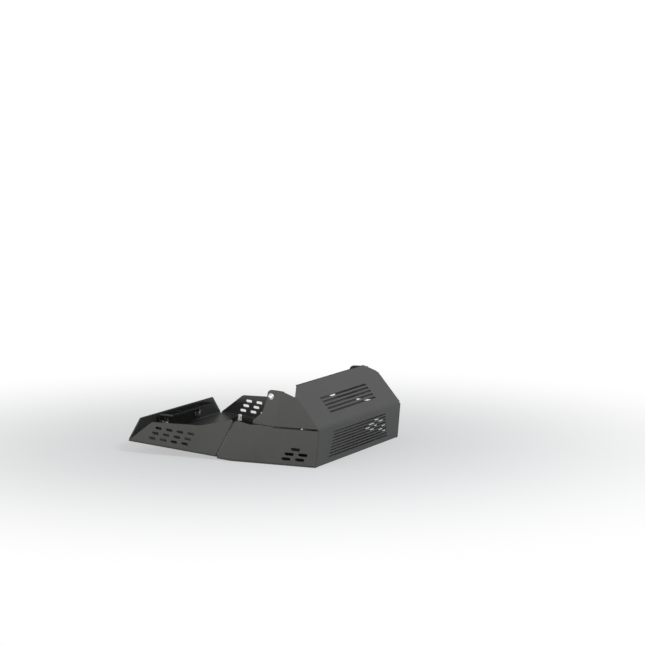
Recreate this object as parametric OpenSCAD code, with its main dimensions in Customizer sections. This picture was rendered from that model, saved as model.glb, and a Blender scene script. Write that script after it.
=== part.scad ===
// Motorcycle skid plate: two folded aluminium sheets screwed together under the engine,
// with a slotted front face, a slanted shield, side wings and the brackets and screws that
// hang it on the frame. Millimetres. Sizes of folded sheet are taken at its outer surface.

/* [Sheet] */
// Thickness of both plates
sheet_t = 3; // [2:0.5:4]
// Inside radius of the plain bends
bend_r = 1.5; // [1:0.5:6]
// Overall width across the side panels
width = 400; // [360:5:440]
// Play between neighbouring cut edges at the closed corners
corner_gap = 0.8; // [0.5:0.1:1.5]

/* [Front plate] */
// Length of the flat floor, from the front edge to the shallow bend
floor_len = 188; // [170:1:210]
// Length of the tongue behind the shallow bend
tongue_len = 30; // [28:1:40]
// Rise of the tongue and of the rear plate
rise = 5; // [3:0.5:8]
// Height of the front face along its surface
face_h = 77.3; // [75:0.1:90]
// Forward lean of the front face
face_lean = 5; // [0:1:10]
// Inside radius of the bend between face and shield
shield_bend_r = 9; // [5:1:14]
// Height of the side panel beside the face
panel_h = 73.6; // [66:0.1:74]
// Height of the side panel at the seam
seam_h = 83; // [78:1:90]
// Width of the seam between front and rear side panels
seam_gap = 3.7; // [2:0.1:6]
// Lean of the seam from upright
seam_lean = 28.6; // [18:0.1:35]

/* [Shield] */
// Slope of the shield from level
shield_slope = 50; // [45:1:55]
// Length of the shield up its slope
shield_len = 101.9; // [92:0.1:120]
// Width of the shield's top edge
shield_top_w = 318; // [240:1:340]
// Where the cut top corner starts, up the slope
shield_corner = 78.5; // [74:0.5:84]
// Number of slots in the shield
shield_slots = 5; // [3:1:6]
// Length of the shield slots
shield_slot_len = 218; // [150:1:260]
// Width of the shield slots
shield_slot_w = 4; // [3:0.5:5]
// Spacing of the shield slots
shield_slot_pitch = 8.3; // [7:0.1:9]
// Height of the lowest shield slot up the slope
shield_slot_from = 27.1; // [22:0.1:30]

/* [Face slots] */
// Number of slots in the front face
face_slots = 9; // [5:1:9]
// Length of the top slot
face_slot_top = 249; // [200:1:270]
// Length of the bottom slot
face_slot_bottom = 283; // [230:1:300]
// Width of the face slots
face_slot_w = 3; // [2:0.2:4]
// Spacing of the face slots
face_slot_pitch = 5.98; // [5:0.01:6.1]
// Height of the lowest face slot
face_slot_from = 13.7; // [12:0.1:14]

/* [Side holes] */
// Length of the holes in the front side panels
front_hole_len = 20; // [14:1:24]
// Width of the holes in the front side panels
front_hole_w = 6; // [4:0.5:7]
// Spacing of the front holes along a row
front_hole_pitch = 30; // [26:0.5:36]
// Spacing of the rows of front holes
front_row_pitch = 10; // [8.5:0.1:12]
// Height of the lowest row of front holes
front_row_from = 14; // [13:0.1:18]
// Length of the holes in the rear side panels
rear_hole_len = 15; // [10:1:18]
// Width of the holes in the rear side panels
rear_hole_w = 6; // [4:0.5:7]
// Spacing of the rear holes along a row
rear_hole_pitch = 24.8; // [22:0.1:26]
// Spacing of the rows of rear holes
rear_row_pitch = 11.2; // [9.5:0.1:12]
// Height of the lowest row of rear holes above the rear floor
rear_row_from = 14.9; // [13:0.1:17]
// Distance of the first rear hole behind the shallow bend
rear_hole_first = 105; // [100:0.5:110]
// Room kept behind the last rear hole
rear_hole_margin = 50; // [40:1:56]

/* [Wings] */
// Distance of the wing bend's top point behind the face's top edge
wing_bend_back = 80.5; // [76:0.5:86]
// Height of the wing bend's top point above the face's top edge
wing_bend_up = 64; // [60:0.5:68]
// Gap between side panel and wing
wing_gap = 3.6; // [2:0.1:6]
// Inward bend of the wing's tail
wing_tail_bend = 12; // [8:1:16]
// Distance of the wing screw behind the wing's bend
wing_screw_back = 21; // [18:0.1:22]
// Distance of the wing screw below the bend line's top point
wing_screw_down = 14.4; // [12:0.1:20]

/* [Rear plate] */
// Length of the rear plate behind the shallow bend
rear_len = 236; // [220:1:260]
// Height of the rear upstand
upstand_h = 42; // [38:1:50]
// Inset of the upstand's top corners
upstand_inset = 45; // [20:1:50]
// Diameter of the oil drain opening
drain_d = 46; // [30:1:60]
// Distance of the drain opening behind the shallow bend
drain_back = 76; // [72:1:84]

/* [Screws] */
// Thread diameter of the overlap screws
overlap_screw_d = 6; // [5:1:6]
// Number of overlap screws
overlap_screw_count = 5; // [3:1:5]
// Spacing of the overlap screws
overlap_screw_pitch = 80; // [50:1:85]
// Thread diameter of the mounting screws
mount_screw_d = 8; // [6:1:8]
// Play of a screw in its hole, on the diameter
screw_play = 0.6; // [0.4:0.1:1]
// Thickness of the steel washers
washer_t = 1.6; // [1:0.1:2.5]

/* [Brackets] */
// Thickness of the steel brackets
bracket_t = 4; // [3:0.5:5]
// Height of the front brackets
front_bracket_h = 34; // [30:1:40]
// Width of the front brackets
front_bracket_w = 25; // [22:1:25]
// Reach of the front brackets' inner flange
front_bracket_reach = 38; // [36:1:50]
// Frame bolt hole in the front brackets
frame_hole_d = 10.5; // [8.5:0.1:12.5]
// Width of the rear bracket
rear_bracket_w = 180; // [170:1:220]
// Distance of the rear bracket's lower edge from the rear floor
rear_bracket_foot = 8; // [7:0.5:10]
// Reach of the rear bracket's top flange
rear_bracket_reach = 34; // [30:1:50]
// Spacing of the screws between upstand and rear bracket
rear_screw_pitch = 140; // [130:1:145]
// Height of those screws above the rear floor
rear_screw_h = 22; // [20:0.5:24]
// Spacing of the frame holes in the rear bracket
rear_frame_pitch = 80; // [60:1:90]
// Frame holes in the rear bracket
rear_frame_hole_d = 8.5; // [6.5:0.1:10.5]

/* [Sump mounts] */
// Height of the sump spacers
spacer_h = 14; // [10:1:40]
// Outside diameter of the sump spacers
spacer_d = 18; // [16:1:24]
// Sideways spacing of the sump mounts
sump_pitch = 150; // [110:1:190]
// Distance of the sump mounts behind the shallow bend
sump_back = 124; // [118:1:150]
// How far the sump screws stand out of their rubber discs
sump_screw_out = 12; // [8:1:16]

/* [Pads] */
// Thickness of the rubber floor pads
pad_t = 6; // [3:1:10]
// Length of the floor pads
pad_len = 90; // [50:1:110]
// Width of the floor pads
pad_w = 24; // [15:1:35]
// Thickness of the rubber discs of wing and sump mounts
disc_t = 3; // [2:0.5:5]

/* [Hidden] */
$fn = 64;
powder_black = "#2b2b2a";
bare_steel = "silver";
rubber_black = "#1b1b1b";
bracket_black = "#303030";

half_w = width / 2;
outer_r = bend_r + sheet_t;
shield_outer_r = shield_bend_r + sheet_t;
inner_half = half_w - sheet_t;
bend_start = half_w - outer_r;
arc_step = 7.5;
relief_d = 5;
through = 30;
far = 400;

// Outer corners of the front plate's long section, from the tongue's end to the shield's top
kink = [-floor_len, 0];
front_low = [0, 0];
front_high = face_h * [sin(face_lean), cos(face_lean)];
shield_dir = [-cos(shield_slope), sin(shield_slope)];
shield_top = front_high + shield_len * shield_dir;
rise_dir = [cos(rise), -sin(rise)];
rise_up = [sin(rise), cos(rise)];
tongue_end = kink - tongue_len * rise_dir;
rear_corner = kink - rear_len * rise_dir + sheet_t * rise_up;

// Seam between the side panels: middle of the gap at its foot, and its direction
seam_foot = [tongue_end[0] - 2.5, 5.5];
seam_dir = [sin(seam_lean), cos(seam_lean)];
seam_back = [-cos(seam_lean), sin(seam_lean)];

// Bend line of the wings, from its top point to where it meets the wing's lower edge
wing_low = panel_h + wing_gap;
wing_bend_top = front_high + [-wing_bend_back, wing_bend_up];
wing_bend_lean = 21.5;
wing_bend_low = wing_bend_top - (wing_bend_top[1] - wing_low) * [tan(wing_bend_lean), 1];
wing_crest = wing_bend_top + 6 * [tan(wing_bend_lean), 1];

// Stacks of the screwed joints, outwards from each sheet
head_h = 0.55;
head_w = 1.75;
grommet_lip = 3;
grommet_rim = 3.5;
lip_play = 1;
thread_play = 0.2;
groove_w = 1;
dome_h = 1;
rear_stack = grommet_lip + washer_t + head_h * mount_screw_d;

// Middle of the overall length, from the socket rims of the rear screws to the front of the
// bend between face and shield
face_normal = [-cos(face_lean), sin(face_lean)];
shield_normal = [-sin(shield_slope), -cos(shield_slope)];
bend_mid = (face_normal + shield_normal) / (1 + face_normal * shield_normal);
front_reach = front_high[0] + shield_outer_r * (1 + bend_mid[0]);
rim_back = rear_len + rear_stack - 0.05 * mount_screw_d;
rim_up = sheet_t + rear_screw_h - 0.3 * mount_screw_d;
rear_reach = (kink - rim_back * rise_dir + rim_up * rise_up)[0];
middle = (front_reach + rear_reach) / 2;

function unit(v) = v / norm(v);
function left_of(v) = [-v[1], v[0]];
function flip(list) = [for (i = [len(list) - 1 : -1 : 0]) list[i]];
function arc_points(c, r, from, sweep) =
    let (n = max(2, ceil(abs(sweep) / arc_step)))
    [for (i = [0 : n]) c + r * [cos(from + sweep * i / n), sin(from + sweep * i / n)]];

// One face of a folded sheet at depth d below its outer face, with outer bend radii r.
// The folds all turn left, and the sheet lies on the left of its outer face.
function fold_line(p, r, d) = [
    for (i = [0 : len(p) - 1])
        let (
            n0 = left_of(unit(p[max(i, 1)] - p[max(i, 1) - 1])),
            n1 = left_of(unit(p[min(i + 1, len(p) - 1)] - p[min(i + 1, len(p) - 1) - 1])),
            mid = (n0 + n1) / (1 + n0 * n1)
        )
        each (r[i] == 0 ? [p[i] + d * mid]
            : arc_points(p[i] + r[i] * mid, r[i] - d, atan2(-n0[1], -n0[0]), acos(n0 * n1)))
];

// A corner v of an outline, rounded with radius r between its neighbours a and b
function round_corner(a, v, b, r) =
    let (
        u = unit(a - v), w = unit(b - v), h = acos(u * w) / 2,
        c = v + unit(u + w) * r / sin(h),
        s = v + u * r / tan(h) - c, e = v + w * r / tan(h) - c,
        from = atan2(s[1], s[0]), turn = atan2(e[1], e[0]) - from
    )
    arc_points(c, r, from, turn > 180 ? turn - 360 : turn < -180 ? turn + 360 : turn);

// An outline whose corners p have the radii r; a radius of 0 leaves the corner sharp
function round_outline(p, r) = [
    for (i = [0 : len(p) - 1])
        each (r[i] == 0 ? [p[i]]
            : round_corner(p[(i + len(p) - 1) % len(p)], p[i], p[(i + 1) % len(p)], r[i]))
];

// Waste outside the bend of radius r at the corner v of a section that runs from a to b
module bend_waste(a, v, b, r) {
    u = unit(a - v);
    w = unit(b - v);
    bend = round_corner(a, v, b, r);
    polygon(concat(bend, [bend[len(bend) - 1] - u, v - 2 * (u + w), bend[0] - w]));
}

// Cross-section of a folded sheet of thickness t
module sheet_section(p, r, t) {
    polygon(concat(fold_line(p, r, 0), flip(fold_line(p, r, t))));
}

// Extrudes a section drawn as x and z over the width w, centred on y
module across(w, y = 0) {
    translate([0, y + w / 2, 0]) rotate([90, 0, 0]) linear_extrude(w) children();
}

// Space between the side panels at depth d below their outer faces, with rounded lower edges,
// carried along a floor or shield through point p whose inward normal leans forward by lean
module width_space(p, lean, d) {
    k = half_w - d;
    translate([p[0], 0, p[1]]) rotate([90, 0, 90]) rotate([lean, 0, 0])
        translate([0, 0, -far]) linear_extrude(2 * far)
            polygon(concat([[-k, far]], arc_points([-bend_start, outer_r], outer_r - d, 180, 90),
                arc_points([bend_start, outer_r], outer_r - d, 270, 90), [[k, far]]));
}

module both_sides() {
    for (s = [0, 1]) mirror([0, s, 0]) children();
}

module sideways(pitch) {
    for (s = [-1, 1]) translate([0, s * pitch / 2, 0]) children();
}

// A round-ended slot along y, cut through a sheet that lies in x and y
module slot_y(length, w) {
    translate([0, 0, -through / 2]) linear_extrude(through) {
        square([w, length - w], center = true);
        for (s = [-1, 1]) translate([0, s * (length - w) / 2]) circle(d = w);
    }
}

// The same slot along x, cut through a side panel
module slot_x(length, w) {
    rotate([90, 0, 0]) rotate([0, 0, 90]) slot_y(length, w);
}

// Places children on the front face: x up the face, z inwards
module on_face() { rotate([0, face_lean - 90, 0]) children(); }

// Places children on the shield: x up the slope, z inwards
module on_shield() {
    translate([front_high[0], 0, front_high[1]]) rotate([0, shield_slope - 180, 0]) children();
}

// Places children on the rising floor: x forward from the shallow bend, z up
module on_rise() { translate([kink[0], 0, kink[1]]) rotate([0, rise, 0]) children(); }

// Places children on the right wing's bend line: x rearward, y outward, z up the bend
module on_wing_bend() {
    translate([wing_bend_top[0], -half_w, wing_bend_top[1]])
        rotate([0, wing_bend_lean, 0]) rotate([0, 0, 180]) children();
}

// Places children at the right wing screw: x rearward, y down, z outward from the wing's skin
module at_wing_screw() {
    on_wing_bend() rotate([0, 0, -wing_tail_bend])
        translate([wing_screw_back, 0, -wing_screw_down]) rotate([-90, 0, 0]) children();
}

// Places children at each overlap screw, z up from the tongue's lower surface
module at_overlap_screws() {
    on_rise() for (i = [0 : overlap_screw_count - 1])
        translate([-tongue_len / 2, (i - (overlap_screw_count - 1) / 2) * overlap_screw_pitch, 0])
            children();
}

// Places children at each rear screw, z rearward from the upstand's outer surface
module at_rear_screws() {
    on_rise() sideways(rear_screw_pitch)
        translate([-rear_len, 0, sheet_t + rear_screw_h]) rotate([0, -90, 0]) children();
}

// Places children at each sump mount, z up from the rear floor's lower surface
module at_sump_mounts() {
    on_rise() sideways(sump_pitch) translate([-sump_back, 0, sheet_t]) children();
}

// Screws, nuts and washers

// Button-head screw: the head sits on z = 0 and the shank points down
module button_screw(d, length) {
    difference() {
        union() {
            intersection() {
                cylinder(d = head_w * d, h = head_h * d);
                translate([0, 0, -0.5 * d]) sphere(r = (0.5 + head_h) * d);
            }
            translate([0, 0, -length]) cylinder(d = d, h = length + head_h * d / 2);
        }
        translate([0, 0, 0.2 * d]) cylinder(d = 0.72 * d, h = d, $fn = 6);
    }
}

// Raised countersunk screw: z = 0 is the sheet's lower surface and the shank points up
module countersunk_screw(d, length) {
    dome_r = (d * d + dome_h * dome_h) / (2 * dome_h);
    difference() {
        union() {
            cylinder(d1 = 2 * d, d2 = d, h = sheet_t);
            cylinder(d = d, h = length);
            intersection() {
                translate([0, 0, -dome_h]) cylinder(d = 2 * d, h = dome_h + sheet_t / 10);
                translate([0, 0, dome_r - dome_h]) sphere(r = dome_r);
            }
        }
        translate([0, 0, -d + 0.3 * d]) cylinder(d = 0.6 * d, h = d, $fn = 6);
    }
}

module washer(outer, inner, h) {
    difference() {
        cylinder(d = outer, h = h);
        translate([0, 0, -1]) cylinder(d = inner, h = h + 2);
    }
}

// Hexagon w across its corners, with the corners of its upper end bevelled
module hexagon(w, h) {
    intersection() {
        cylinder(d = w, h = h, $fn = 6);
        cylinder(r1 = 0.45 * w + h * tan(60), r2 = 0.45 * w, h = h);
    }
}

// Locking nut: hexagon with a round collar, standing on z = 0
module lock_nut(d) {
    difference() {
        union() {
            hexagon(1.85 * d, 0.75 * d);
            cylinder(d = 1.5 * d, h = d);
        }
        translate([0, 0, -1]) cylinder(d = d + thread_play, h = d + 2);
    }
}

// Flanged nut standing on z = 0
module flange_nut(d) {
    difference() {
        union() {
            hexagon(1.85 * d, d);
            cylinder(d = 2.2 * d, h = 0.2 * d);
        }
        translate([0, 0, -1]) cylinder(d = d + thread_play, h = d + 2);
    }
}

// Front plate: one sheet with floor, tongue, side panels, face, shield and wings

// Solid filling the front plate down to depth d below its outer faces. The outer faces of
// floor and face meet in a sharp corner, because the side panels end in one.
module front_tray(d) {
    reach = d > 0 ? 60 : 0;
    low_r = d > 0 ? outer_r : 0;
    chain = [tongue_end - reach * rise_dir, kink, front_low, front_high, shield_top + reach * shield_dir];
    intersection() {
        across(2 * width) polygon(concat(fold_line(chain, [0, 0, low_r, shield_outer_r, 0], d),
            [[tongue_end[0] - 3 * reach, shield_top[1] + reach]]));
        width_space(front_low, 0, d);
        width_space(kink, rise, d);
        width_space(front_high, shield_slope - 180, d);
    }
}

// Outline of the front side panel, running past the floor and face where the tray ends it
panel_outline = round_outline([
    seam_foot - 20 * seam_dir - seam_gap / 2 * seam_back,
    seam_foot + (seam_h - seam_foot[1]) / cos(seam_lean) * seam_dir - seam_gap / 2 * seam_back,
    [front_high[0] - 152, panel_h + 3],
    [front_high[0] - 131, panel_h + 4.5],
    [front_high[0] - 102, panel_h + 1.8],
    [front_high[0] - 100.5, panel_h],
    [far, panel_h],
    [far, -20]
], [0, 5, 8, 10, 0.5, 0.5, 0, 0]);

// Outline of the wing ahead of its bend line, running past the shield where the tray ends it
wing_outline = round_outline([
    wing_bend_low,
    [front_high[0] + 30, wing_low],
    [front_high[0] + 30, wing_bend_top[1] - 3],
    wing_bend_top + [26.5, -3],
    wing_bend_top + [8.5, 3.5],
    wing_crest
], [0, 0, 0, 14, 20, 0]);

// Outline of the wing's tail as seen from the side, overlapping the wing ahead of it
tail_outline = round_outline([
    wing_bend_low + [4, 0],
    [wing_bend_top[0] - 67.7, wing_low + 1],
    [wing_bend_top[0] - 66.5, wing_low + 8],
    [wing_bend_top[0] - 45.2, wing_low + 24],
    wing_bend_top + [-34.4, -11],
    wing_bend_top + [-32.5, 7],
    wing_bend_top + [-12.7, 7],
    wing_crest + [3, 0]
], [0, 1, 4, 18, 20, 9, 30, 0]);

module side_windows() {
    for (s = [-1, 1]) across(outer_r + 1, s * (half_w - (outer_r - 1) / 2)) difference() {
        translate([-far, -far]) square(2 * far);
        polygon(panel_outline);
        polygon(wing_outline);
    }
}

// Tail of the right wing: bent inwards at the bend line, then cut to its outline
module wing_tail() {
    intersection() {
        on_wing_bend() translate([0, 0, -150]) linear_extrude(300)
            sheet_section([80 * [cos(wing_tail_bend), -sin(wing_tail_bend)], [0, 0], [-3, 0]],
                [0, outer_r, 0], sheet_t);
        across(80, -half_w) polygon(tail_outline);
    }
}

// The cut top corners of the shield
module shield_corners() {
    both_sides() on_shield() translate([0, 0, -1]) linear_extrude(sheet_t + 1.4)
        polygon([[shield_corner, half_w + 5], [shield_corner, bend_start],
            [shield_len, shield_top_w / 2], [shield_len + 10, shield_top_w / 2],
            [shield_len + 10, half_w + 5]]);
}

// Slits that part an end wall from the side panels, from a round relief hole at their foot up.
// Below the end wall's edge the bend of the side panel keeps its section to its end.
module corner_slits(x, height, toward) {
    from = toward > 0 ? x : x - through;
    both_sides() {
        translate([from, inner_half - corner_gap, outer_r]) cube([through, corner_gap, height]);
        translate([from, bend_start, -1]) cube([through, corner_gap, outer_r + 1]);
        translate([x, bend_start, -1]) cylinder(d = relief_d, h = outer_r + 1);
        translate([from, 0, 0]) rotate([90, 0, 90]) linear_extrude(through)
            polygon(concat([[bend_start, outer_r]], arc_points([bend_start, outer_r], bend_r, 270, 90)));
    }
}

// Spots of the holes in the front side panel: two rows of two and one hole above them
front_holes = concat(
    [for (row = [0, 1], i = [0, 1])
        [-64 + 7 * row + i * front_hole_pitch, front_row_from + row * front_row_pitch]],
    [[-43, front_row_from + 2 * front_row_pitch]]
);

module front_slots() {
    shorter = (face_slot_bottom - face_slot_top) / (face_slots - 1);
    for (i = [0 : face_slots - 1])
        on_face() translate([face_slot_from + i * face_slot_pitch, 0, 0])
            slot_y(face_slot_bottom - i * shorter, face_slot_w);
    for (i = [0 : shield_slots - 1])
        on_shield() translate([shield_slot_from + i * shield_slot_pitch, 0, 0])
            slot_y(shield_slot_len, shield_slot_w);
    both_sides() for (p = front_holes)
        translate([p[0], half_w, p[1]]) slot_x(front_hole_len, front_hole_w);
}

module front_plate() {
    color(powder_black) difference() {
        union() {
            difference() {
                front_tray(0);
                front_tray(sheet_t);
                side_windows();
                shield_corners();
            }
            both_sides() wing_tail();
        }
        across(2 * bend_start) bend_waste(kink, front_low, front_high, outer_r);
        front_slots();
        corner_slits(-outer_r, wing_low - outer_r, 1);
        both_sides() at_wing_screw()
            translate([0, 0, -through / 2]) cylinder(d = mount_screw_d + screw_play, h = through);
        at_overlap_screws() cylinder(d1 = 2 * overlap_screw_d + screw_play,
            d2 = overlap_screw_d + screw_play, h = sheet_t);
        at_overlap_screws() translate([0, 0, -1]) cylinder(d = overlap_screw_d + screw_play, h = through);
    }
}

// Rear plate: one sheet with a lip over the tongue, floor, side panels and upstand

module rear_tray(d) {
    reach = d > 0 ? 60 : 0;
    low_r = d > 0 ? outer_r : 0;
    top = sheet_t + upstand_h + 2 * reach;
    high = top + upstand_h;
    inside = -rear_len + outer_r;
    chain = [[-rear_len, top], [-rear_len, sheet_t], [reach - lip_play, sheet_t]];
    on_rise() intersection() {
        across(2 * width) polygon(concat(fold_line(chain, [0, low_r, 0], d),
            [[reach - lip_play, high], [inside, high], [inside, top]]));
        width_space([0, sheet_t], 0, d);
    }
}

// Outline of the rear side panel, running past the floor where the tray ends it
rear_outline = round_outline([
    seam_foot - 20 * seam_dir + seam_gap / 2 * seam_back,
    seam_foot + (seam_h + 2 - seam_foot[1]) / cos(seam_lean) * seam_dir + seam_gap / 2 * seam_back,
    [seam_foot[0] - 32, rear_corner[1] + 44],
    rear_corner + [57, 43],
    rear_corner - [20, 15],
    rear_corner - [20, 40]
], [0, 4, 60, 9, 0, 0]);

module rear_windows() {
    for (s = [-1, 1]) across(outer_r + 1, s * (half_w - (outer_r - 1) / 2)) difference() {
        translate([-2 * far, -far]) square([3 * far, 2 * far]);
        polygon(rear_outline);
    }
}

// The upstand's slanted ends
module upstand_ends() {
    both_sides() on_rise() translate([-rear_len + outer_r, 0, 0]) rotate([0, -90, 0])
        linear_extrude(through)
            polygon([[sheet_t, half_w], [sheet_t + 2 * upstand_h, half_w - 2 * upstand_inset],
                [sheet_t + 2 * upstand_h, half_w + 5], [sheet_t, half_w + 5]]);
}

// Three rows of holes that follow the rising floor, each lower row set back a little
rear_row_shift = 6.3;
rear_holes = 1 + floor((rear_len - rear_hole_first - rear_hole_margin) / rear_hole_pitch);

module rear_side_holes() {
    both_sides() on_rise() for (row = [0 : 2], i = [0 : rear_holes - 1])
        translate([rear_row_shift * row - rear_hole_first - i * rear_hole_pitch, half_w,
            sheet_t + rear_row_from + row * rear_row_pitch])
            slot_x(rear_hole_len, rear_hole_w);
}

module rear_plate() {
    color(powder_black) difference() {
        rear_tray(0);
        rear_tray(sheet_t);
        on_rise() across(2 * bend_start)
            bend_waste([-rear_len, sheet_t + upstand_h], [-rear_len, sheet_t], [0, sheet_t], outer_r);
        rear_windows();
        upstand_ends();
        rear_side_holes();
        on_rise() both_sides() translate([-tongue_len - seam_gap, bend_start - lip_play, 0])
            cube([2 * tongue_len, 2 * lip_play, outer_r + sheet_t]);
        on_rise() translate([0, 0, sheet_t]) corner_slits(-rear_len + outer_r, upstand_h, -1);
        on_rise() translate([-drain_back, 0, 0]) cylinder(d = drain_d, h = through);
        at_overlap_screws() cylinder(d = overlap_screw_d + screw_play, h = through);
        at_rear_screws() translate([0, 0, -through / 2]) cylinder(d = grommet_neck, h = through);
        at_sump_mounts() translate([0, 0, -1]) cylinder(d = mount_screw_d + screw_play, h = through);
    }
}

// Overlap joint

module overlap_screws() {
    grip = 2 * sheet_t + washer_t + overlap_screw_d;
    color(bare_steel) at_overlap_screws() countersunk_screw(overlap_screw_d, grip + 1.5);
}

module overlap_washers() {
    color(bare_steel) at_overlap_screws() translate([0, 0, 2 * sheet_t])
        washer(2 * overlap_screw_d, overlap_screw_d + screw_play, washer_t);
}

module overlap_nuts() {
    color(bare_steel) at_overlap_screws() translate([0, 0, 2 * sheet_t + washer_t])
        lock_nut(overlap_screw_d);
}

// Wing mounts: a screw, a rubber disc, a folded bracket and a nut at each wing

wing_stack = sheet_t + disc_t + bracket_t;
front_bracket_top = 9.5;
bracket_ahead = 3.5;
frame_hole_in = 14;

module wing_screw() {
    color(bare_steel) at_wing_screw() button_screw(mount_screw_d, wing_stack + mount_screw_d + 2);
}

module wing_pad() {
    color(rubber_black) at_wing_screw() translate([0, 0, -sheet_t - disc_t])
        washer(2 * mount_screw_d, mount_screw_d + screw_play, disc_t);
}

module wing_nut() {
    color(bare_steel) at_wing_screw() translate([0, 0, -wing_stack]) rotate([180, 0, 0])
        flange_nut(mount_screw_d);
}

// Bracket folded to an angle, with one flange behind the wing and the frame hole in the other
module front_bracket() {
    skin = -sheet_t - disc_t;
    foot = front_bracket_h - front_bracket_top;
    color(bracket_black) at_wing_screw() difference() {
        translate([-front_bracket_w / 2 - bracket_ahead, 0, 0]) rotate([90, 0, 90])
            linear_extrude(front_bracket_w) sheet_section(
                [[foot, skin - front_bracket_reach], [foot, skin], [-front_bracket_top, skin]],
                [0, 2 * bracket_t, 0], bracket_t);
        translate([0, 0, skin - bracket_t - 1]) cylinder(d = mount_screw_d + screw_play, h = bracket_t + 2);
        translate([-bracket_ahead, foot + 1, skin - front_bracket_reach + frame_hole_in])
            rotate([90, 0, 0]) cylinder(d = frame_hole_d, h = bracket_t + 2);
    }
}

// Rear mounts: grommets and sleeves in the upstand, and a bracket that reaches to the frame

sleeve_d = mount_screw_d + 3;
grommet_neck = sleeve_d + 4;
sleeve_len = sheet_t + 2 * grommet_lip;

module rear_screws() {
    color(bare_steel) at_rear_screws() translate([0, 0, grommet_lip + washer_t])
        button_screw(mount_screw_d, washer_t + sleeve_len + bracket_t + mount_screw_d + 2);
}

module rear_washers() {
    color(bare_steel) at_rear_screws() translate([0, 0, grommet_lip])
        washer(3 * mount_screw_d, mount_screw_d + screw_play, washer_t);
}

module rear_sleeves() {
    color(bare_steel) at_rear_screws() translate([0, 0, grommet_lip - sleeve_len])
        washer(sleeve_d, mount_screw_d + screw_play, sleeve_len);
}

// Rubber rings whose neck fills the hole in the upstand
module rear_grommets() {
    lip_d = grommet_neck + 2 * grommet_rim;
    color(rubber_black) at_rear_screws() difference() {
        union() {
            translate([0, 0, -sleeve_len + grommet_lip]) cylinder(d = lip_d, h = grommet_lip);
            translate([0, 0, -sheet_t]) cylinder(d = grommet_neck, h = sheet_t);
            cylinder(d = lip_d, h = grommet_lip);
        }
        translate([0, 0, -through / 2]) cylinder(d = sleeve_d, h = through);
    }
}

module rear_nuts() {
    color(bare_steel) at_rear_screws() translate([0, 0, grommet_lip - sleeve_len - bracket_t])
        rotate([180, 0, 0]) flange_nut(mount_screw_d);
}

// Bracket folded to an angle, whose top flange lies level and carries the frame holes
module rear_bracket() {
    rear_face = -rear_len + sheet_t + grommet_lip;
    top = sheet_t + upstand_h;
    foot = sheet_t + rear_bracket_foot;
    corner = [rear_face, top];
    color(bracket_black) difference() {
        on_rise() across(rear_bracket_w) sheet_section(
            [corner + rear_bracket_reach * [cos(rise), sin(rise)], corner, [rear_face, foot]],
            [0, 2 * bracket_t, 0], bracket_t);
        at_rear_screws() translate([0, 0, -through]) cylinder(d = mount_screw_d + screw_play, h = through);
        on_rise() translate([corner[0], 0, corner[1]]) rotate([0, -rise, 0])
            sideways(rear_frame_pitch) translate([rear_bracket_reach * 0.58, 0, -through / 2])
                cylinder(d = rear_frame_hole_d, h = through);
    }
}

// Sump mounts: screws from below, with washers, tall spacers and rubber discs on top

// Each has a groove where its thread ends, just above the rubber disc
module sump_screws() {
    stack = washer_t + sheet_t + spacer_h + disc_t;
    color(bare_steel) at_sump_mounts() translate([0, 0, -washer_t]) rotate([180, 0, 0]) difference() {
        button_screw(mount_screw_d, stack + sump_screw_out);
        translate([0, 0, -stack - groove_w]) washer(2 * mount_screw_d, 0.85 * mount_screw_d, groove_w);
    }
}

module sump_washers() {
    color(bare_steel) at_sump_mounts() translate([0, 0, -washer_t])
        washer(3 * mount_screw_d, mount_screw_d + screw_play, washer_t);
}

module sump_spacers() {
    color(bare_steel) at_sump_mounts() translate([0, 0, sheet_t])
        washer(spacer_d, mount_screw_d + screw_play, spacer_h);
}

module sump_pads() {
    color(rubber_black) at_sump_mounts() translate([0, 0, sheet_t + spacer_h])
        washer(spacer_d, mount_screw_d + screw_play, disc_t);
}

// Rubber pads on the floors, with bevelled upper edges

module floor_pad() {
    bevel = pad_t / 3;
    across(pad_w) polygon([[-pad_len / 2, 0], [pad_len / 2, 0], [pad_len / 2, pad_t - bevel],
        [pad_len / 2 - bevel, pad_t], [-pad_len / 2 + bevel, pad_t], [-pad_len / 2, pad_t - bevel]]);
}

module floor_pads() {
    color(rubber_black) {
        sideways(0.55 * width) translate([-floor_len / 2, 0, sheet_t]) floor_pad();
        on_rise() sideways(0.7 * width) translate([-sump_back - 6, 0, 2 * sheet_t]) floor_pad();
    }
}

translate([-middle, 0, 0]) {
    front_plate();
    rear_plate();
    overlap_screws();
    overlap_washers();
    overlap_nuts();
    wing_screw();  // wing_screw_right
    mirror([0, 1, 0]) wing_screw();  // wing_screw_left
    wing_pad();  // wing_pad_right
    mirror([0, 1, 0]) wing_pad();  // wing_pad_left
    front_bracket();  // front_bracket_right
    mirror([0, 1, 0]) front_bracket();  // front_bracket_left
    wing_nut();  // wing_nut_right
    mirror([0, 1, 0]) wing_nut();  // wing_nut_left
    rear_bracket();
    rear_screws();
    rear_grommets();
    rear_sleeves();
    rear_washers();
    rear_nuts();
    sump_screws();
    sump_washers();
    sump_spacers();
    sump_pads();
    floor_pads();
}
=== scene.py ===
from math import cos, radians, sin

import bmesh
import bpy
import numpy as np
from mathutils import Matrix, Vector


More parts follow.
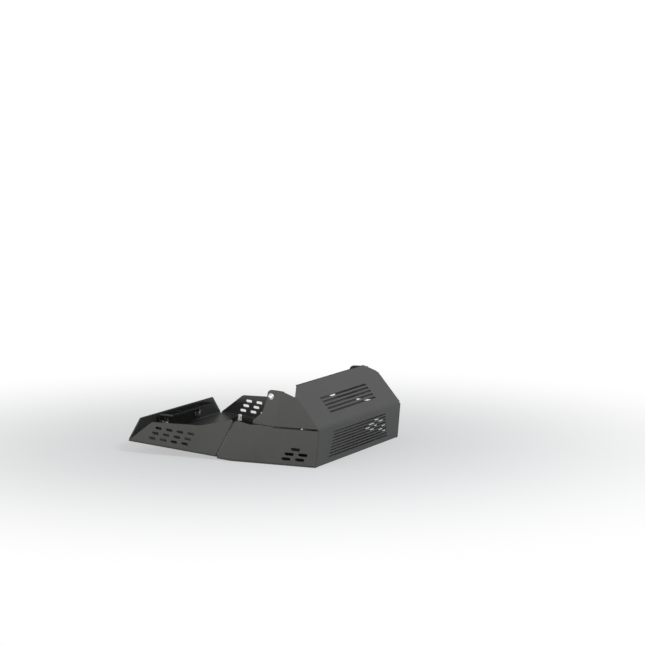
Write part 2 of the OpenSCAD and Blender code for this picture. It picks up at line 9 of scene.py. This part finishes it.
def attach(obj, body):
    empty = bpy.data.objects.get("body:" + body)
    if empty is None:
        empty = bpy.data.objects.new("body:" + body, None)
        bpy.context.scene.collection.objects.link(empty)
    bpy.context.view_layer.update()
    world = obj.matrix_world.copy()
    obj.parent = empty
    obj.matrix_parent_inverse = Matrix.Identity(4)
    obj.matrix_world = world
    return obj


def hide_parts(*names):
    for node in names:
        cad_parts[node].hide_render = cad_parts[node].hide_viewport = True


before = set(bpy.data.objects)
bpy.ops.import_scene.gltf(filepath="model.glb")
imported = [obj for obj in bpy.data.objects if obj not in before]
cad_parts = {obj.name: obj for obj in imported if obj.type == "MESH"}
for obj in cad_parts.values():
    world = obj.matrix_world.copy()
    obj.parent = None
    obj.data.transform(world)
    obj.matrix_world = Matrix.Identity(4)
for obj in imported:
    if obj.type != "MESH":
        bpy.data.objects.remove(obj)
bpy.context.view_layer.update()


# The two plates.
# Each is one sheet of 3 mm aluminium, laser cut, folded on a press brake and powder coated
# black all over. The coat is matt with a fine grain, and the paler grey on cut edges is a painted highlight
# where light catches them.
def node_group(name, inputs, outputs):
    """An empty shader node group; inputs are (name, type, value), outputs are (name, type)."""
    group = bpy.data.node_groups.new(name, "ShaderNodeTree")
    for label, kind, value in inputs:
        socket = group.interface.new_socket(label, in_out="INPUT", socket_type=kind)
        socket.default_value = value
    for label, kind in outputs:
        group.interface.new_socket(label, in_out="OUTPUT", socket_type=kind)
    return group, group.nodes.new("NodeGroupInput"), group.nodes.new("NodeGroupOutput")


def noise(tree, coordinate, scale, detail=3.0, roughness=0.5):
    """A noise texture read at the given coordinate socket, with a number or a socket as scale."""
    node = tree.nodes.new("ShaderNodeTexNoise")
    tree.links.new(coordinate, node.inputs["Vector"])
    node.inputs["Detail"].default_value = detail
    node.inputs["Roughness"].default_value = roughness
    if isinstance(scale, (int, float)):
        node.inputs["Scale"].default_value = scale
    else:
        tree.links.new(scale, node.inputs["Scale"])
    return node.outputs["Fac"]


def spread(tree, value, low, high, to_low, to_high):
    """value carried from the range low..high to the range to_low..to_high, clamped."""
    node = tree.nodes.new("ShaderNodeMapRange")
    tree.links.new(value, node.inputs["Value"])
    for label, number in (("From Min", low), ("From Max", high), ("To Min", to_low), ("To Max", to_high)):
        if isinstance(number, (int, float)):
            node.inputs[label].default_value = number
        else:
            tree.links.new(number, node.inputs[label])
    return node.outputs["Result"]


def combine(tree, operation, a, b):
    """One maths node: a and b are sockets or numbers."""
    node = tree.nodes.new("ShaderNodeMath")
    node.operation = operation
    for socket, term in zip(node.inputs, (a, b)):
        if isinstance(term, (int, float)):
            socket.default_value = term
        else:
            tree.links.new(term, socket)
    return node.outputs["Value"]


def blend_colours(tree, factor, a, b):
    """Colour a where factor is 0 and colour b where it is 1; each is a socket or an RGB triple."""
    node = tree.nodes.new("ShaderNodeMix")
    node.data_type = "RGBA"
    tree.links.new(factor, node.inputs["Factor"])
    for label, term in (("A", a), ("B", b)):
        socket = [s for s in node.inputs if s.name == label and s.type == "RGBA"][0]
        if isinstance(term, tuple):
            socket.default_value = (*term, 1.0)
        else:
            tree.links.new(term, socket)
    return [s for s in node.outputs if s.type == "RGBA"][0]


# Grain of a sprayed or baked coat: fine pimples on a slower swell, and the same noise as a mask.
coat_grain, grain_in, grain_out = node_group(
    "coat_grain",
    [("Position", "NodeSocketVector", (0, 0, 0)), ("Fineness", "NodeSocketFloat", 2200.0)],
    [("Height", "NodeSocketFloat"), ("Mottle", "NodeSocketFloat"), ("Fleck", "NodeSocketFloat")],
)
fine_pimples = noise(coat_grain, grain_in.outputs["Position"], grain_in.outputs["Fineness"], 2.0)
swell_scale = combine(coat_grain, "MULTIPLY", grain_in.outputs["Fineness"], 0.22)
slow_swell = noise(coat_grain, grain_in.outputs["Position"], swell_scale, 2.0)
pimples_and_swell = combine(
    coat_grain, "ADD",
    combine(coat_grain, "MULTIPLY", fine_pimples, 0.65),
    combine(coat_grain, "MULTIPLY", slow_swell, 0.35),
)
coat_grain.links.new(pimples_and_swell, grain_out.inputs["Height"])
mottle = noise(coat_grain, grain_in.outputs["Position"], 9.0, 4.0, 0.6)
coat_grain.links.new(mottle, grain_out.inputs["Mottle"])
coat_grain.links.new(fine_pimples, grain_out.inputs["Fleck"])

# Mask for a painted highlight on edges, where light would catch them: 1 where the surface turns within the
# edge's reach, broken by noise.
edge_reach = 0.0005
edge_highlight_mask, edge_in, edge_out = node_group(
    "edge_highlight_mask",
    [("Position", "NodeSocketVector", (0, 0, 0)), ("Breakup", "NodeSocketFloat", 160.0)],
    [("Edge", "NodeSocketFloat"), ("Soft Normal", "NodeSocketVector")],
)
rounded = edge_highlight_mask.nodes.new("ShaderNodeBevel")
rounded.samples = 6
rounded.inputs["Radius"].default_value = edge_reach
flat = edge_highlight_mask.nodes.new("ShaderNodeNewGeometry")
agreement = edge_highlight_mask.nodes.new("ShaderNodeVectorMath")
agreement.operation = "DOT_PRODUCT"
edge_highlight_mask.links.new(rounded.outputs["Normal"], agreement.inputs[0])
edge_highlight_mask.links.new(flat.outputs["Normal"], agreement.inputs[1])
turning = spread(edge_highlight_mask, agreement.outputs["Value"], 0.999, 0.86, 0.0, 1.0)
breakup = noise(edge_highlight_mask, edge_in.outputs["Position"], edge_in.outputs["Breakup"], 4.0)
patches = spread(edge_highlight_mask, breakup, 0.35, 0.6, 0.35, 1.0)
edge_highlight_mask.links.new(combine(edge_highlight_mask, "MULTIPLY", turning, patches), edge_out.inputs["Edge"])
edge_highlight_mask.links.new(rounded.outputs["Normal"], edge_out.inputs["Soft Normal"])


def place(tree, group, **values):
    """One use of a node group in a material, read at Object coordinates, with its own values."""
    node = tree.nodes.new("ShaderNodeGroup")
    node.node_tree = group
    where = tree.nodes.new("ShaderNodeTexCoord")
    tree.links.new(where.outputs["Object"], node.inputs["Position"])
    for label, value in values.items():
        node.inputs[label].default_value = value
    return node


def new_material(name):
    """A node material with its Principled shader and tree."""
    made = bpy.data.materials.new(name)
    made.use_nodes = True
    return made, made.node_tree, made.node_tree.nodes["Principled BSDF"]


def raise_bump(tree, shader, height, distance, strength, normal=None):
    """Feeds height through a bump of the given depth in metres to the shader's normal."""
    bump = tree.nodes.new("ShaderNodeBump")
    bump.inputs["Distance"].default_value = distance
    bump.inputs["Strength"].default_value = strength
    tree.links.new(height, bump.inputs["Height"])
    if normal is not None:
        tree.links.new(normal, bump.inputs["Normal"])
    tree.links.new(bump.outputs["Normal"], shader.inputs["Normal"])


# Facing values of a surface between which a grainy skin loses its shine
shine_falls_from, shine_gone_at = 0.64, 0.82


def grazing_matt(tree, shader, level):
    """Shine of a grainy skin: full up to the first facing value, and gone at the second."""
    look = tree.nodes.new("ShaderNodeLayerWeight")
    look.inputs["Blend"].default_value = 0.5
    shine = spread(tree, look.outputs["Facing"], shine_falls_from, shine_gone_at, level, 0.0)
    tree.links.new(shine, shader.inputs["Specular IOR Level"])


def coated_metal(name, deep, pale, fleck_and_edge_highlight, fineness, roughness, gloss, bump):
    """Coat whose colour drifts between deep and pale, with paler flecks in its grain and a painted highlight
    in the same paler colour along the edges.
    """
    made, tree, shader = new_material(name)
    grazing_matt(tree, shader, gloss)
    grain = place(tree, coat_grain, Fineness=fineness)
    edges = place(tree, edge_highlight_mask)
    drift = spread(tree, grain.outputs["Mottle"], 0.35, 0.65, 0.0, 1.0)
    colour = blend_colours(tree, drift, deep, pale)
    fleck = spread(tree, grain.outputs["Fleck"], 0.62, 0.75, 0.0, 0.35)
    colour = blend_colours(tree, fleck, colour, fleck_and_edge_highlight)
    # Paler colour along the edges: a painted highlight where light catches the cut edges.
    painted_edge_highlight = combine(tree, "MULTIPLY", edges.outputs["Edge"], 0.3)
    colour = blend_colours(tree, painted_edge_highlight, colour, fleck_and_edge_highlight)
    tree.links.new(colour, shader.inputs["Base Color"])
    uneven = spread(tree, grain.outputs["Mottle"], 0.3, 0.7, roughness - 0.04, roughness + 0.05)
    tree.links.new(uneven, shader.inputs["Roughness"])
    raise_bump(tree, shader, grain.outputs["Height"], bump, 0.5, edges.outputs["Soft Normal"])
    return made


def dress(nodes, material):
    """Gives CAD nodes their material."""
    for name in nodes:
        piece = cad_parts[name]
        piece.data.materials.clear()
        piece.data.materials.append(material)


# The third colour serves the grain's flecks and the painted edge highlight.
powder_coat = coated_metal(
    "powder_coat", deep=(0.050, 0.0505, 0.0465), pale=(0.060, 0.0605, 0.056), fleck_and_edge_highlight=(0.10, 0.10, 0.095),
    fineness=2200.0, roughness=0.42, gloss=0.34, bump=0.00006,
)
dress(["front_plate", "rear_plate"], powder_coat)


# The brackets.
# Two small angles behind the wings and a wide one inside the upstand, folded from 4 mm
# steel and dipped in a smoother, satin black coat.
# The third colour serves the grain's flecks and the painted edge highlight.
bracket_coat = coated_metal(
    "bracket_coat", deep=(0.018, 0.018, 0.019), pale=(0.026, 0.026, 0.027), fleck_and_edge_highlight=(0.07, 0.07, 0.07),
    fineness=1100.0, roughness=0.36, gloss=0.5, bump=0.00005,
)
dress(["front_bracket_right", "front_bracket_left", "rear_bracket"], bracket_coat)


# Nuts, washers, sleeves and spacers.
# Turned and stamped steel with bright zinc plate, whose colour drifts between cool and warm
# and which is duller in patches.
zinc_bloom, bloom_in, bloom_out = node_group(
    "zinc_bloom",
    [("Position", "NodeSocketVector", (0, 0, 0)), ("Patches", "NodeSocketFloat", 140.0)],
    [("Drift", "NodeSocketFloat"), ("Dull", "NodeSocketFloat"), ("Height", "NodeSocketFloat")],
)
tint_patches = noise(zinc_bloom, bloom_in.outputs["Position"], bloom_in.outputs["Patches"], 4.0)
zinc_bloom.links.new(spread(zinc_bloom, tint_patches, 0.35, 0.65, 0.0, 1.0), bloom_out.inputs["Drift"])
dull_scale = combine(zinc_bloom, "MULTIPLY", bloom_in.outputs["Patches"], 3.1)
dull_patches = noise(zinc_bloom, bloom_in.outputs["Position"], dull_scale, 5.0, 0.6)
zinc_bloom.links.new(spread(zinc_bloom, dull_patches, 0.3, 0.7, 0.0, 1.0), bloom_out.inputs["Dull"])
zinc_bloom.links.new(noise(zinc_bloom, bloom_in.outputs["Position"], 2600.0, 2.0), bloom_out.inputs["Height"])


def zinc_plate(name, roughness):
    """Bright metal whose tint and roughness follow the zinc's bloom."""
    made, tree, shader = new_material(name)
    shader.inputs["Metallic"].default_value = 1.0
    bloom = place(tree, zinc_bloom)
    tint = blend_colours(tree, bloom.outputs["Drift"], (0.60, 0.61, 0.62), (0.66, 0.64, 0.60))
    tree.links.new(tint, shader.inputs["Base Color"])
    dulled = spread(tree, bloom.outputs["Dull"], 0.0, 1.0, roughness, roughness + 0.16)
    tree.links.new(dulled, shader.inputs["Roughness"])
    raise_bump(tree, shader, bloom.outputs["Height"], 0.00002, 0.4)
    return made


zinc_steel = zinc_plate("zinc_steel", 0.26)
dress(
    ["overlap_washers", "overlap_nuts", "wing_nut_right", "wing_nut_left", "rear_sleeves",
     "rear_washers", "rear_nuts", "sump_washers", "sump_spacers"],
    zinc_steel,
)


# The screws.
# Button-head and countersunk socket screws with rolled threads, bright zinc plated. Each is
# one closed surface: hexagon socket, head, shank, thread and chamfered end.
middle_x = 0.211675
shallow_bend_x = -0.188 + middle_x
rise = radians(5)


def on_rising_floor(p):
    """Points given forward, left and up from the shallow bend, turned by the rise into the frame."""
    forward, left, up = p[..., 0], p[..., 1], p[..., 2]
    turned_x = shallow_bend_x + forward * cos(rise) + up * sin(rise)
    return np.stack([turned_x, left, up * cos(rise) - forward * sin(rise)], -1)


def thread_rings(radius, top, bottom, pitch, around):
    """Radius and height of rings down a thread: the radius falls from its crest by a rounded
    tooth that goes once round per pitch, and the tooth fades out at both ends."""
    count = int((top - bottom) / pitch * 8) + 2
    z = np.linspace(top, bottom, count)[:, None] * np.ones((1, len(around)))
    phase = (z / pitch + around[None, :] / (2 * np.pi)) % 1.0
    tooth = 0.5 - 0.5 * np.cos(2 * np.pi * phase)
    fade = np.clip((top - z) / pitch, 0, 1) * np.clip((z - bottom) / (0.6 * pitch), 0, 1)
    return radius - 0.54 * pitch * (1 - tooth) * fade, z


def socket_screw(d, shank, pitch, head_rings, thread_top, socket_floor, socket_across):
    """Rings of one screw about +Z with the shank down: the socket's floor and hexagonal wall,
    then the head's profile, then the thread, then a chamfer that closes on the axis."""
    around = np.linspace(0, 2 * np.pi, 48, endpoint=False)
    hexagon = socket_across / 2 / np.cos((around % (np.pi / 3)) - np.pi / 6)
    flat_ring = np.ones_like(around)
    rim_z = head_rings[0][1]
    rings = [
        (0 * flat_ring, (socket_floor - 0.12 * d) * flat_ring),
        (0.98 * hexagon, socket_floor * flat_ring),
        (hexagon, (socket_floor + 0.02 * d) * flat_ring),
        (hexagon, (rim_z - 0.03 * d) * flat_ring),
        (1.05 * hexagon, rim_z * flat_ring),
    ]
    rings += [(r * flat_ring, z * flat_ring) for r, z in head_rings[1:]]
    radius, z = thread_rings(d / 2, thread_top, -shank + 0.1 * d, pitch, around)
    rings += list(zip(radius, z))
    rings += [(0.42 * d * flat_ring, -shank * flat_ring), (0 * flat_ring, -shank * flat_ring)]
    r = np.array([ring[0] for ring in rings])
    z = np.array([ring[1] for ring in rings])
    return np.stack([r * np.cos(around), r * np.sin(around), z], -1)


def button_screw(d, shank, pitch):
    """Button head: a ball of radius 1.05 d cut by the seat and by a cylinder of 1.75 d."""
    ball = 1.05 * d
    reach = np.linspace(0.38 * d, 0.86 * d, 9)
    dome = [(float(x), float(np.sqrt(ball**2 - x**2) - 0.5 * d)) for x in reach]
    edge_z = float(np.sqrt(ball**2 - (0.875 * d) ** 2) - 0.5 * d)
    head = dome + [(0.875 * d, edge_z - 0.02 * d), (0.875 * d, 0.02 * d), (0.86 * d, 0.0), (0.5 * d, 0.0)]
    return socket_screw(d, shank, pitch, head, -0.1 * d, 0.2 * d, 0.625 * d)


def countersunk_screw(d, length, sheet):
    """Raised countersunk head: a low dome of 1 mm over a cone from 2 d down to d in one sheet."""
    bulge = (d * d + 0.001**2) / 0.002
    reach = np.linspace(0.33 * d, 0.98 * d, 8)
    dome = [(float(x), float(np.sqrt(bulge**2 - x**2) - bulge + 0.001)) for x in reach]
    head = dome + [(d, -0.0001), (0.5 * d, -sheet)]
    return socket_screw(d, length, 0.001, head, -sheet - 0.0005, -0.3 * d, 0.52 * d)


def grid_to_mesh(name, grids):
    """Closed quads between neighbouring rings of each grid, which run round without a seam."""
    points, quads, start = [], [], 0
    for grid in grids:
        rows, cols = grid.shape[:2]
        index = start + np.arange(rows * cols).reshape(rows, cols)
        turned = np.roll(index, -1, axis=1)
        quads.append(np.stack([index[:-1], index[1:], turned[1:], turned[:-1]], -1).reshape(-1, 4))
        points.append(grid.reshape(-1, 3))
        start += rows * cols
    mesh = bpy.data.meshes.new(name)
    mesh.from_pydata(np.concatenate(points).tolist(), [], np.concatenate(quads).tolist())
    mesh.update()
    made = bpy.data.objects.new(name, mesh)
    bpy.context.scene.collection.objects.link(made)
    skin = bmesh.new()
    skin.from_mesh(mesh)
    bmesh.ops.remove_doubles(skin, verts=skin.verts, dist=1e-7)
    bmesh.ops.recalc_face_normals(skin, faces=skin.faces)
    skin.to_mesh(mesh)
    skin.free()
    mesh.shade_smooth()
    mesh.set_sharp_from_angle(angle=radians(35))
    return made


def stand_screws(name, screw, seats, node):
    """Copies of one screw, one at each seat: a function from the screw's own axes to the frame."""
    made = grid_to_mesh(name, [seat(screw) for seat in seats])
    made.data.materials.append(screw_zinc)
    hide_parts(node)
    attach(made, "root")


screw_zinc = zinc_plate("screw_zinc", 0.22)
sheet_t, washer_t = 0.003, 0.0016
m6, m8, m8_pitch = 0.006, 0.008, 0.00125
overlap_length, sump_length, rear_length, wing_length = 0.0151, 0.0336, 0.0246, 0.020

# Rows of screws: how far forward of the shallow bend they stand, and the rear row's height
overlap_row, sump_row = -0.015, -0.124
rear_row, rear_height = -0.2406, 0.025

# Overlap and sump screws stand head down under the floor
overlap_seats = [
    lambda p, y=y: on_rising_floor(p * [1, 1, -1] + [overlap_row, y, 0])
    for y in (-0.16, -0.08, 0.0, 0.08, 0.16)
]
overlap_screw = countersunk_screw(m6, overlap_length, sheet_t)
stand_screws("overlap_screws_threaded", overlap_screw, overlap_seats, "overlap_screws")

sump_seats = [
    lambda p, y=y: on_rising_floor(p * [1, 1, -1] + [sump_row, y, sheet_t - washer_t])
    for y in (-0.075, 0.075)
]
sump_screw = button_screw(m8, sump_length, m8_pitch)
stand_screws("sump_screws_threaded", sump_screw, sump_seats, "sump_screws")

# Rear screws lie along the floor with their heads behind the upstand
rear_seats = [
    lambda p, y=y: on_rising_floor(
        np.stack([rear_row - p[..., 2], y + p[..., 1], rear_height + p[..., 0]], -1)
    )
    for y in (-0.07, 0.07)
]
rear_screw = button_screw(m8, rear_length, m8_pitch)
stand_screws("rear_screws_threaded", rear_screw, rear_seats, "rear_screws")

# The wing screws lie square to the wings' tails, which are bent inwards about a leaning line.
# That line's top point lies behind and above the top edge of the leaning front face.
lean, tail = radians(21.5), radians(12)
face_height, face_lean = 0.0773, radians(5)
bend_back, bend_up, half_width = 0.0805, 0.064, 0.2
screw_back, screw_down = 0.021, 0.0144
bend_top = np.array(
    [face_height * sin(face_lean) - bend_back + middle_x, half_width, face_height * cos(face_lean) + bend_up]
)
rearward = np.array([-cos(lean), 0, sin(lean)])
outward = np.array([0, 1.0, 0])
up_bend = np.array([sin(lean), 0, cos(lean)])
tail_back = cos(tail) * rearward - sin(tail) * outward
tail_out = sin(tail) * rearward + cos(tail) * outward
wing_spot = bend_top + screw_back * tail_back - screw_down * up_bend
wing_screw = button_screw(m8, wing_length, m8_pitch)


def on_wing_tail(p, sign):
    """Points given backward, up the bend and outward from the wing screw; sign is -1 on the right."""
    spot = wing_spot + p[..., :1] * tail_back + p[..., 1:2] * up_bend + p[..., 2:] * tail_out
    return spot * np.array([1, sign, 1])


for side, sign in (("right", -1), ("left", 1)):
    seat = [lambda p, sign=sign: on_wing_tail(p, sign)]
    stand_screws(f"wing_screw_{side}_threaded", wing_screw, seat, f"wing_screw_{side}")


# The rubber pieces.
# Moulded pads, discs and grommets, matt black with a slightly dusty, uneven skin.
rubber, rubber_tree, rubber_shader = new_material("rubber")
grazing_matt(rubber_tree, rubber_shader, 0.2)
skin = place(rubber_tree, coat_grain, Fineness=1500.0)
dusty = spread(rubber_tree, skin.outputs["Mottle"], 0.4, 0.7, 0.0, 1.0)
dusty_black = blend_colours(rubber_tree, dusty, (0.014, 0.014, 0.014), (0.030, 0.029, 0.027))
rubber_tree.links.new(dusty_black, rubber_shader.inputs["Base Color"])
worn = spread(rubber_tree, skin.outputs["Mottle"], 0.3, 0.7, 0.75, 0.9)
rubber_tree.links.new(worn, rubber_shader.inputs["Roughness"])
raise_bump(rubber_tree, rubber_shader, skin.outputs["Height"], 0.00012, 0.5)
dress(["wing_pad_right", "wing_pad_left", "rear_grommets", "sump_pads", "floor_pads"], rubber)


# The studio.
# A pale floor and a white surround that fade into each other, lit by a low soft box on the
# camera's side, a small one above the front for the shield, and an even sky.
def fade_out(tree, low, high, near):
    """near within low metres of the object's middle, rising smoothly to 1 at high metres."""
    where = tree.nodes.new("ShaderNodeTexCoord")
    reach = tree.nodes.new("ShaderNodeVectorMath")
    reach.operation = "LENGTH"
    tree.links.new(where.outputs["Object"], reach.inputs[0])
    fade = tree.nodes.new("ShaderNodeMapRange")
    fade.interpolation_type = "SMOOTHSTEP"
    tree.links.new(reach.outputs["Value"], fade.inputs["Value"])
    for label, number in (("From Min", low), ("From Max", high), ("To Min", near), ("To Max", 1.0)):
        fade.inputs[label].default_value = number
    return fade.outputs["Result"]


def shows_background(tree):
    """1 on rays that come from the camera, a shiny surface or glass, and 0 on all others."""
    path = tree.nodes.new("ShaderNodeLightPath")
    shown = combine(tree, "MAXIMUM", path.outputs["Is Camera Ray"], path.outputs["Is Glossy Ray"])
    return combine(tree, "MAXIMUM", shown, path.outputs["Is Transmission Ray"])


floor_mesh = bpy.data.meshes.new("studio_floor")
half_floor = 40
floor_corners = [(x * half_floor, y * half_floor, 0) for x, y in ((-1, -1), (1, -1), (1, 1), (-1, 1))]
floor_mesh.from_pydata(floor_corners, [], [(0, 1, 2, 3)])
floor = bpy.data.objects.new("studio_floor", floor_mesh)
bpy.context.scene.collection.objects.link(floor)
floor_paint, floor_tree, floor_shader = new_material("studio_floor")
floor_shader.inputs["Base Color"].default_value = (0.80, 0.80, 0.79, 1)
floor_shader.inputs["Roughness"].default_value = 0.9
floor_shader.inputs["Specular IOR Level"].default_value = 0.1
white_glow = floor_tree.nodes.new("ShaderNodeEmission")
white_glow.inputs["Color"].default_value = (1, 1, 1, 1)
glow_for_camera = floor_tree.nodes.new("ShaderNodeMixShader")
fade = fade_out(floor_tree, low=0.1, high=1.2, near=0.45)
glow = combine(floor_tree, "MULTIPLY", fade, shows_background(floor_tree))
floor_tree.links.new(glow, glow_for_camera.inputs[0])
floor_tree.links.new(floor_shader.outputs["BSDF"], glow_for_camera.inputs[1])
floor_tree.links.new(white_glow.outputs["Emission"], glow_for_camera.inputs[2])
floor_output = floor_tree.nodes["Material Output"]
floor_tree.links.new(glow_for_camera.outputs["Shader"], floor_output.inputs["Surface"])
floor_mesh.materials.append(floor_paint)

world = bpy.data.worlds.new("studio_sky")
world.use_nodes = True
bpy.context.scene.world = world
sky_tree = world.node_tree
sky = sky_tree.nodes["Background"]
sky.inputs["Color"].default_value = (0.93, 0.95, 1.0, 1)
sky.inputs["Strength"].default_value = 0.20
white_sky = sky_tree.nodes.new("ShaderNodeBackground")
white_sky.inputs["Color"].default_value = (1, 1, 1, 1)
white_sky.inputs["Strength"].default_value = 1.0
sky_for_camera = sky_tree.nodes.new("ShaderNodeMixShader")
sky_tree.links.new(shows_background(sky_tree), sky_for_camera.inputs[0])
sky_tree.links.new(sky.outputs["Background"], sky_for_camera.inputs[1])
sky_tree.links.new(white_sky.outputs["Background"], sky_for_camera.inputs[2])
sky_tree.links.new(sky_for_camera.outputs["Shader"], sky_tree.nodes["World Output"].inputs["Surface"])


def soft_box(name, place_at, aim, width, height, power, colour):
    """A rectangular area light at place_at whose face looks at aim."""
    light = bpy.data.lights.new(name, "AREA")
    light.shape = "RECTANGLE"
    light.size, light.size_y = width, height
    light.energy = power
    light.color = colour
    made = bpy.data.objects.new(name, light)
    made.location = place_at
    made.rotation_mode = "QUATERNION"
    made.rotation_quaternion = (Vector(aim) - Vector(place_at)).to_track_quat("-Z", "Y")
    bpy.context.scene.collection.objects.link(made)


soft_box(
    "key_box", place_at=(-1.1, -2.8, 0.36), aim=(0.0, -0.2, 0.05),
    width=2.4, height=0.4, power=35.0, colour=(1.0, 0.99, 0.97),
)
soft_box(
    "shield_box", place_at=(1.41, -0.73, 1.6), aim=(0.17, -0.1, 0.1),
    width=0.7, height=0.5, power=15.0, colour=(0.86, 0.93, 1.0),
)

# Camera fitted to the photograph: its place, and its right, up and backward directions.
camera_data = bpy.data.cameras.new("camera")
camera_data.sensor_width = 36.0
camera_data.lens = 130.6
camera_data.clip_start, camera_data.clip_end = 0.1, 100.0
camera = bpy.data.objects.new("camera", camera_data)
right, up = (0.902, 0.4312, -0.0018), (-0.0499, 0.1085, 0.9928)
back = (0.4287, -0.8957, 0.1194)
spot = (1.9577 + middle_x, -4.2573, 0.8293)
camera.matrix_world = Matrix([*zip(right, up, back, spot), (0, 0, 0, 1)])
bpy.context.scene.collection.objects.link(camera)
bpy.context.scene.camera = camera
bpy.context.scene.view_settings.view_transform = "Standard"
